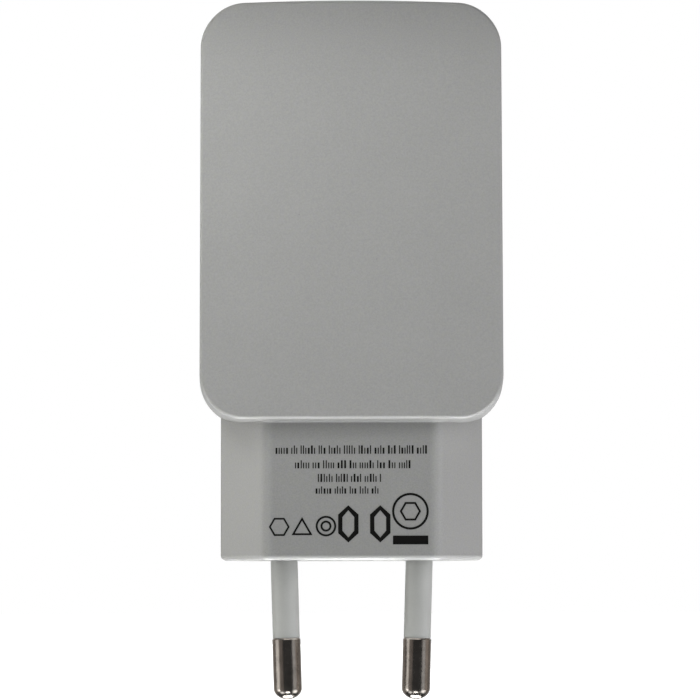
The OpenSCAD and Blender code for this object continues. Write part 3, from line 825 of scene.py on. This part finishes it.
def board_material(name):
    """Phenolic board: warm weave and lighter, glossier pads."""
    material, nodes, links, shader, coords = tree(name)
    fibres = noise(nodes, links, stretched(nodes, links, coords, (1, 1, 6)), 0.9, 4)
    pads = cells(nodes, links, coords, 3.4)
    base = ramp(nodes, links, fibres, [(0.3, (0.42, 0.27, 0.09)), (0.7, (0.55, 0.37, 0.14))])
    pad = span(nodes, links, pads, 1, 0, 0.16, 0.2)
    links.new(mix(nodes, links, pad, base, (0.6, 0.58, 0.52)), shader.inputs["Base Color"])
    links.new(span(nodes, links, pads, 0.3, 0.55, 0.15, 0.25), shader.inputs["Roughness"])
    bump(nodes, links, shader, [(fibres, 0.01)])
    return material


# moulded: colour, roughness, grain and bump depth in mm, then variation, coat and clearness
# metal: colour, roughness, how dense the streaks are along each axis, then bump depth and variation
MATERIALS = {
    "housing": lambda n: pearl_paint(n, (0.418, 0.42, 0.413)),
    "face_plate": lambda n: moulded(n, (0.36, 0.362, 0.357), 0.5, 0.18, 0.006),
    "light_window": lambda n: moulded(n, (0.8, 0.84, 0.9), 0.2, 0.4, 0.001, 0.03, 0.3, 0.6),
    "insulation_paper": lambda n: moulded(n, (0.75, 0.7, 0.52), 0.8, 0.5, 0.012),
    "pin_carrier": lambda n: moulded(n, (0.37, 0.372, 0.367), 0.5, 0.3, 0.005),
    "pin_metal": lambda n: metal(n, (0.62, 0.575, 0.53), 0.2, (60, 60, 14), 0.007, 0.2),
    "pin_sleeve": lambda n: moulded(n, (0.44, 0.447, 0.43), 0.42, 0.2, 0.003, 0.06),
    "live_wire": lambda n: moulded(n, (0.2, 0.06, 0.02), 0.35, 0.4, 0.003),
    "neutral_wire": lambda n: moulded(n, (0.02, 0.08, 0.42), 0.35, 0.4, 0.003),
    "circuit_board": board_material,
    "tinned_copper": lambda n: metal(n, (0.72, 0.72, 0.7), 0.28, (10, 10, 10)),
    "resistor_coating": lambda n: moulded(n, (0.27, 0.5, 0.36), 0.4, 0.3, 0.006, 0.12, 0.3),
    "ferrite": lambda n: moulded(n, (0.045, 0.045, 0.05), 0.6, 0.35, 0.015, 0.3),
    "copper_winding": lambda n: wound(n, (0.72, 0.32, 0.11), 0.28, "Z"),
    "chip_epoxy": lambda n: moulded(n, (0.025, 0.025, 0.027), 0.5, 0.12, 0.006, 0.3),
    "optocoupler_epoxy": lambda n: moulded(n, (0.75, 0.74, 0.7), 0.5, 0.15, 0.006),
    "input_can_sleeve": lambda n: moulded(n, (0.02, 0.025, 0.05), 0.25, 0.6, 0.003, 0.1, 0.5),
    "output_can_sleeve": lambda n: moulded(n, (0.03, 0.11, 0.05), 0.25, 0.6, 0.003, 0.1, 0.5),
    "seal_rubber": lambda n: moulded(n, (0.03, 0.03, 0.03), 0.75, 0.3, 0.01, 0.2),
    "disc_coating": lambda n: moulded(n, (0.05, 0.16, 0.5), 0.35, 0.5, 0.008, 0.1, 0.3),
    "bobbin_plastic": lambda n: moulded(n, (0.03, 0.03, 0.03), 0.4, 0.4, 0.006, 0.2),
    "polyester_tape": lambda n: moulded(n, (0.8, 0.6, 0.08), 0.22, 1.2, 0.004, 0.1, 0.4),
    "thick_film": lambda n: moulded(n, (0.03, 0.03, 0.035), 0.35, 0.2, 0.004, 0.2),
    "chip_ceramic": lambda n: moulded(n, (0.42, 0.3, 0.18), 0.5, 0.2, 0.005),
    "led_case": lambda n: moulded(n, (0.8, 0.8, 0.76), 0.35, 0.3, 0.003),
    "port_steel": lambda n: metal(n, (0.66, 0.66, 0.65), 0.22, (12, 12, 40), 0.0015),
    "port_plastic": lambda n: moulded(n, (0.78, 0.78, 0.76), 0.38, 0.3, 0.003, 0.04),
    "gold_contact": lambda n: metal(n, (0.95, 0.66, 0.25), 0.18, (20, 20, 8)),
}
made_materials = {}


def finish_of(slot):
    """The material of a slot, made when it's first asked for."""
    if slot not in made_materials:
        made_materials[slot] = MATERIALS[slot](slot)
    return made_materials[slot]


def plain(name, colour, rough):
    """An even material, and its shader."""
    material, _, _, shader, _ = tree(name)
    shader.inputs["Base Color"].default_value = (*colour, 1)
    shader.inputs["Roughness"].default_value = rough
    return material, shader


def dress(obj, material):
    """Gives the object this one material."""
    obj.data.materials.clear()
    obj.data.materials.append(material)


# ---- pieces ----

def place(obj, slot, *nodes):
    """The piece rides on the part's one body, takes its finish from a slot and stands for CAD nodes."""
    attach(obj, "root")
    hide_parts(*nodes)
    dress(obj, finish_of(slot))


def build_pieces():
    """Detailed pieces in place of the CAD nodes that show from outside, and the print on the neck."""
    place(cover("case_front", 1), "housing", "front_cover")
    place(cover("case_rear", -1), "housing", "rear_cover")
    place(face_plate(), "face_plate", "usb_face_plate")
    place(led_lens(), "light_window", "led_window")
    place(carrier(), "pin_carrier", "pin_carrier")
    for word, side in (("left", -1), ("right", 1)):
        place(pin(f"{word}_plug_pin", side), "pin_metal", f"{word}_pin")
        place(sleeve(f"{word}_sleeve", side), "pin_sleeve", f"{word}_pin_sleeve")
        place(usb_shell(f"{word}_usb_shell", side), "port_steel", f"{word}_usb_shell")
    ink = rating_print()
    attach(ink, "root")
    dress(ink, printing_ink("print_ink"))


def dress_cad_nodes():
    """Carried-over CAD nodes keep their shape, and get worked edges and a real finish."""
    worked_edge = 0.06
    for row in frame["record"]["subparts"]:
        obj = frame["nodes"][row["node"]]
        if obj.hide_render:
            continue
        dress(obj, finish_of(row["material_slot"]))
        modifier = obj.modifiers.new("edges", "BEVEL")
        modifier.width = worked_edge * MM
        modifier.segments = 2
        modifier.limit_method = "ANGLE"
        modifier.angle_limit = math.radians(40)
        modifier.harden_normals = True


# ---- studio: lamps and cards placed in millimetres, their energy in watts ----

BODY_MIDDLE = (0, 0, 35)
NECK_MIDDLE = (0, 0, 20)


def add_camera():
    """The photograph's viewpoint: level with the pins, half a metre away, looking slightly up."""
    data = bpy.data.cameras.new("camera")
    data.lens, data.sensor_width = 184.3, 36
    data.clip_start, data.clip_end = 0.01, 20
    camera = bpy.data.objects.new("camera", data)
    camera.location = Vector((-1.2, -494.2, -6.35)) * MM
    pitch, yaw, roll = math.radians(4.10), math.radians(0.118), math.radians(-0.09)
    heading = Matrix.Rotation(-yaw, 4, "Z")
    level = Matrix.Rotation(math.pi / 2 + pitch, 4, "X")
    camera.rotation_euler = (heading @ level @ Matrix.Rotation(roll, 4, "Z")).to_euler()
    bpy.context.scene.collection.objects.link(camera)
    bpy.context.scene.camera = camera


def area_light(name, place, target, size, energy, colour=(1, 1, 1)):
    """A soft box at place, facing target. It lights surfaces but isn't mirrored in them."""
    data = bpy.data.lights.new(name, "AREA")
    data.shape = "RECTANGLE"
    data.size, data.size_y = size[0] * MM, size[1] * MM
    data.energy = energy
    data.color = colour
    light = bpy.data.objects.new(name, data)
    light.location = Vector(place) * MM
    aim = Vector(target) - Vector(place)
    light.rotation_euler = aim.to_track_quat("-Z", "Y").to_euler()
    light.visible_camera = False
    light.visible_glossy = False
    bpy.context.scene.collection.objects.link(light)
    return light


def reflector(name, place, size, brightness, colour=(1, 1, 1)):
    """A glowing card that is only seen mirrored in glossy surfaces."""
    energy = brightness * math.pi * size[0] * size[1] * MM * MM
    card = area_light(name, place, NECK_MIDDLE, size, energy, colour)
    card.visible_glossy = True
    card.visible_diffuse = False


def flat_card(name, corners, material):
    """A four-cornered sheet, its corners in metres. It isn't mirrored in glossy surfaces."""
    mesh = bpy.data.meshes.new(name)
    mesh.from_pydata(corners, [], [(0, 1, 2, 3)])
    card = bpy.data.objects.new(name, mesh)
    bpy.context.scene.collection.objects.link(card)
    card.visible_glossy = False
    dress(card, material)
    return card


def add_floor():
    """A pale floor just under the pins. It glows white and leaves the object's light alone."""
    material, shader = plain("pale_floor", (0.92, 0.92, 0.92), 0.9)
    shader.inputs["Emission Color"].default_value = (1, 1, 1, 1)
    shader.inputs["Emission Strength"].default_value = 1.0
    half = 6.0
    corners = [(-half, -half, 0), (half, -half, 0), (half, half, 0), (-half, half, 0)]
    floor = flat_card("floor", corners, material)
    floor.location.z = CAD_BOX[0].z - 0.2 * MM
    floor.visible_diffuse = False
    floor.visible_shadow = False


def add_flag():
    """A dark card above the view that keeps some of the key light off the USB end."""
    material, _ = plain("black_card", (0.02, 0.02, 0.02), 0.9)
    half, y, low, high = 0.12, -0.045, 0.0893, 0.2
    corners = [(-half, y, low), (half, y, low), (half, y, high), (-half, y, high)]
    flag = flat_card("flag", corners, material)
    flag.visible_camera = False


def add_world():
    """White behind everything for the camera, and a faint even light on the object."""
    world = bpy.data.worlds.new("world")
    bpy.context.scene.world = world
    world.use_nodes = True
    nodes, links = world.node_tree.nodes, world.node_tree.links
    soft = nodes["Background"]
    soft.inputs["Color"].default_value = (1, 1, 1, 1)
    soft.inputs["Strength"].default_value = 0.035
    white = nodes.new("ShaderNodeBackground")
    white.inputs["Color"].default_value = (1, 1, 1, 1)
    paths, either = nodes.new("ShaderNodeLightPath"), nodes.new("ShaderNodeMixShader")
    links.new(paths.outputs["Is Camera Ray"], either.inputs[0])
    links.new(soft.outputs[0], either.inputs[1])
    links.new(white.outputs[0], either.inputs[2])
    links.new(either.outputs[0], nodes["World Output"].inputs["Surface"])


def add_reflectors():
    """Cards around the object, placed from the bands and spots seen on the pins."""
    warm, brown = (1, 0.97, 0.93), (1, 0.86, 0.76)
    reflector("left_card", (-418, -44, 40), (250, 700), 0.72, warm)
    reflector("left_dim_card", (-331, -259, 40), (270, 700), 0.12, brown)
    reflector("left_rear_card", (-344, 241, 40), (230, 700), 0.16, brown)
    reflector("right_card", (360, -216, 40), (200, 700), 0.36)
    reflector("right_dim_card", (420, 0, 40), (250, 700), 0.24, brown)
    reflector("right_rear_card", (344, 241, 40), (230, 700), 0.12, brown)
    reflector("back_card", (0, 420, 40), (700, 700), 0.4)
    reflector("low_card", (0, 170, -360), (200, 170), 12.0)
    reflector("low_front_card", (0, -230, -310), (150, 90), 5.0)
    reflector("low_left_card", (-254, -116, -327), (190, 150), 1.2)
    reflector("left_low_card", (-390, -80, -150), (90, 120), 2.6)
    reflector("low_right_card", (300, -85, -240), (230, 190), 1.6)
    reflector("top_card", (0, -230, 400), (300, 200), 0.9, warm)


def add_lamps():
    """The light on the object: a small key near the USB end, and soft boxes all round."""
    warm, cool = (1, 1, 0.975), (0.965, 0.965, 1)
    area_light("key", (-60, -75, 92), (-10, 0, 62), (50, 50), 0.043, warm)
    area_light("front_fill", (0, -700, 200), BODY_MIDDLE, (600, 600), 2.05)
    area_light("right_front", (350, -330, 120), BODY_MIDDLE, (200, 300), 0.6, cool)
    area_light("left_side", (-420, -60, -30), BODY_MIDDLE, (200, 500), 0.97, warm)
    area_light("low_left", (-250, 0, -330), NECK_MIDDLE, (130, 130), 0.1, warm)
    area_light("low_right", (240, -35, -260), NECK_MIDDLE, (130, 130), 0.6, cool)
    area_light("right_side", (420, -30, -40), BODY_MIDDLE, (200, 400), 0.4, cool)
    area_light("low", (0, 20, -350), NECK_MIDDLE, (220, 220), 2.15)
    area_light("top_back", (0, 220, 450), BODY_MIDDLE, (300, 300), 1.2)
    area_light("back_fill", (150, 700, 120), BODY_MIDDLE, (500, 500), 1.6)


def add_studio():
    """Everything round the object, and colours shown as they are."""
    add_world()
    add_floor()
    add_flag()
    add_reflectors()
    add_lamps()
    bpy.context.scene.view_settings.view_transform = "Standard"


build_pieces()
dress_cad_nodes()
add_camera()
add_studio()
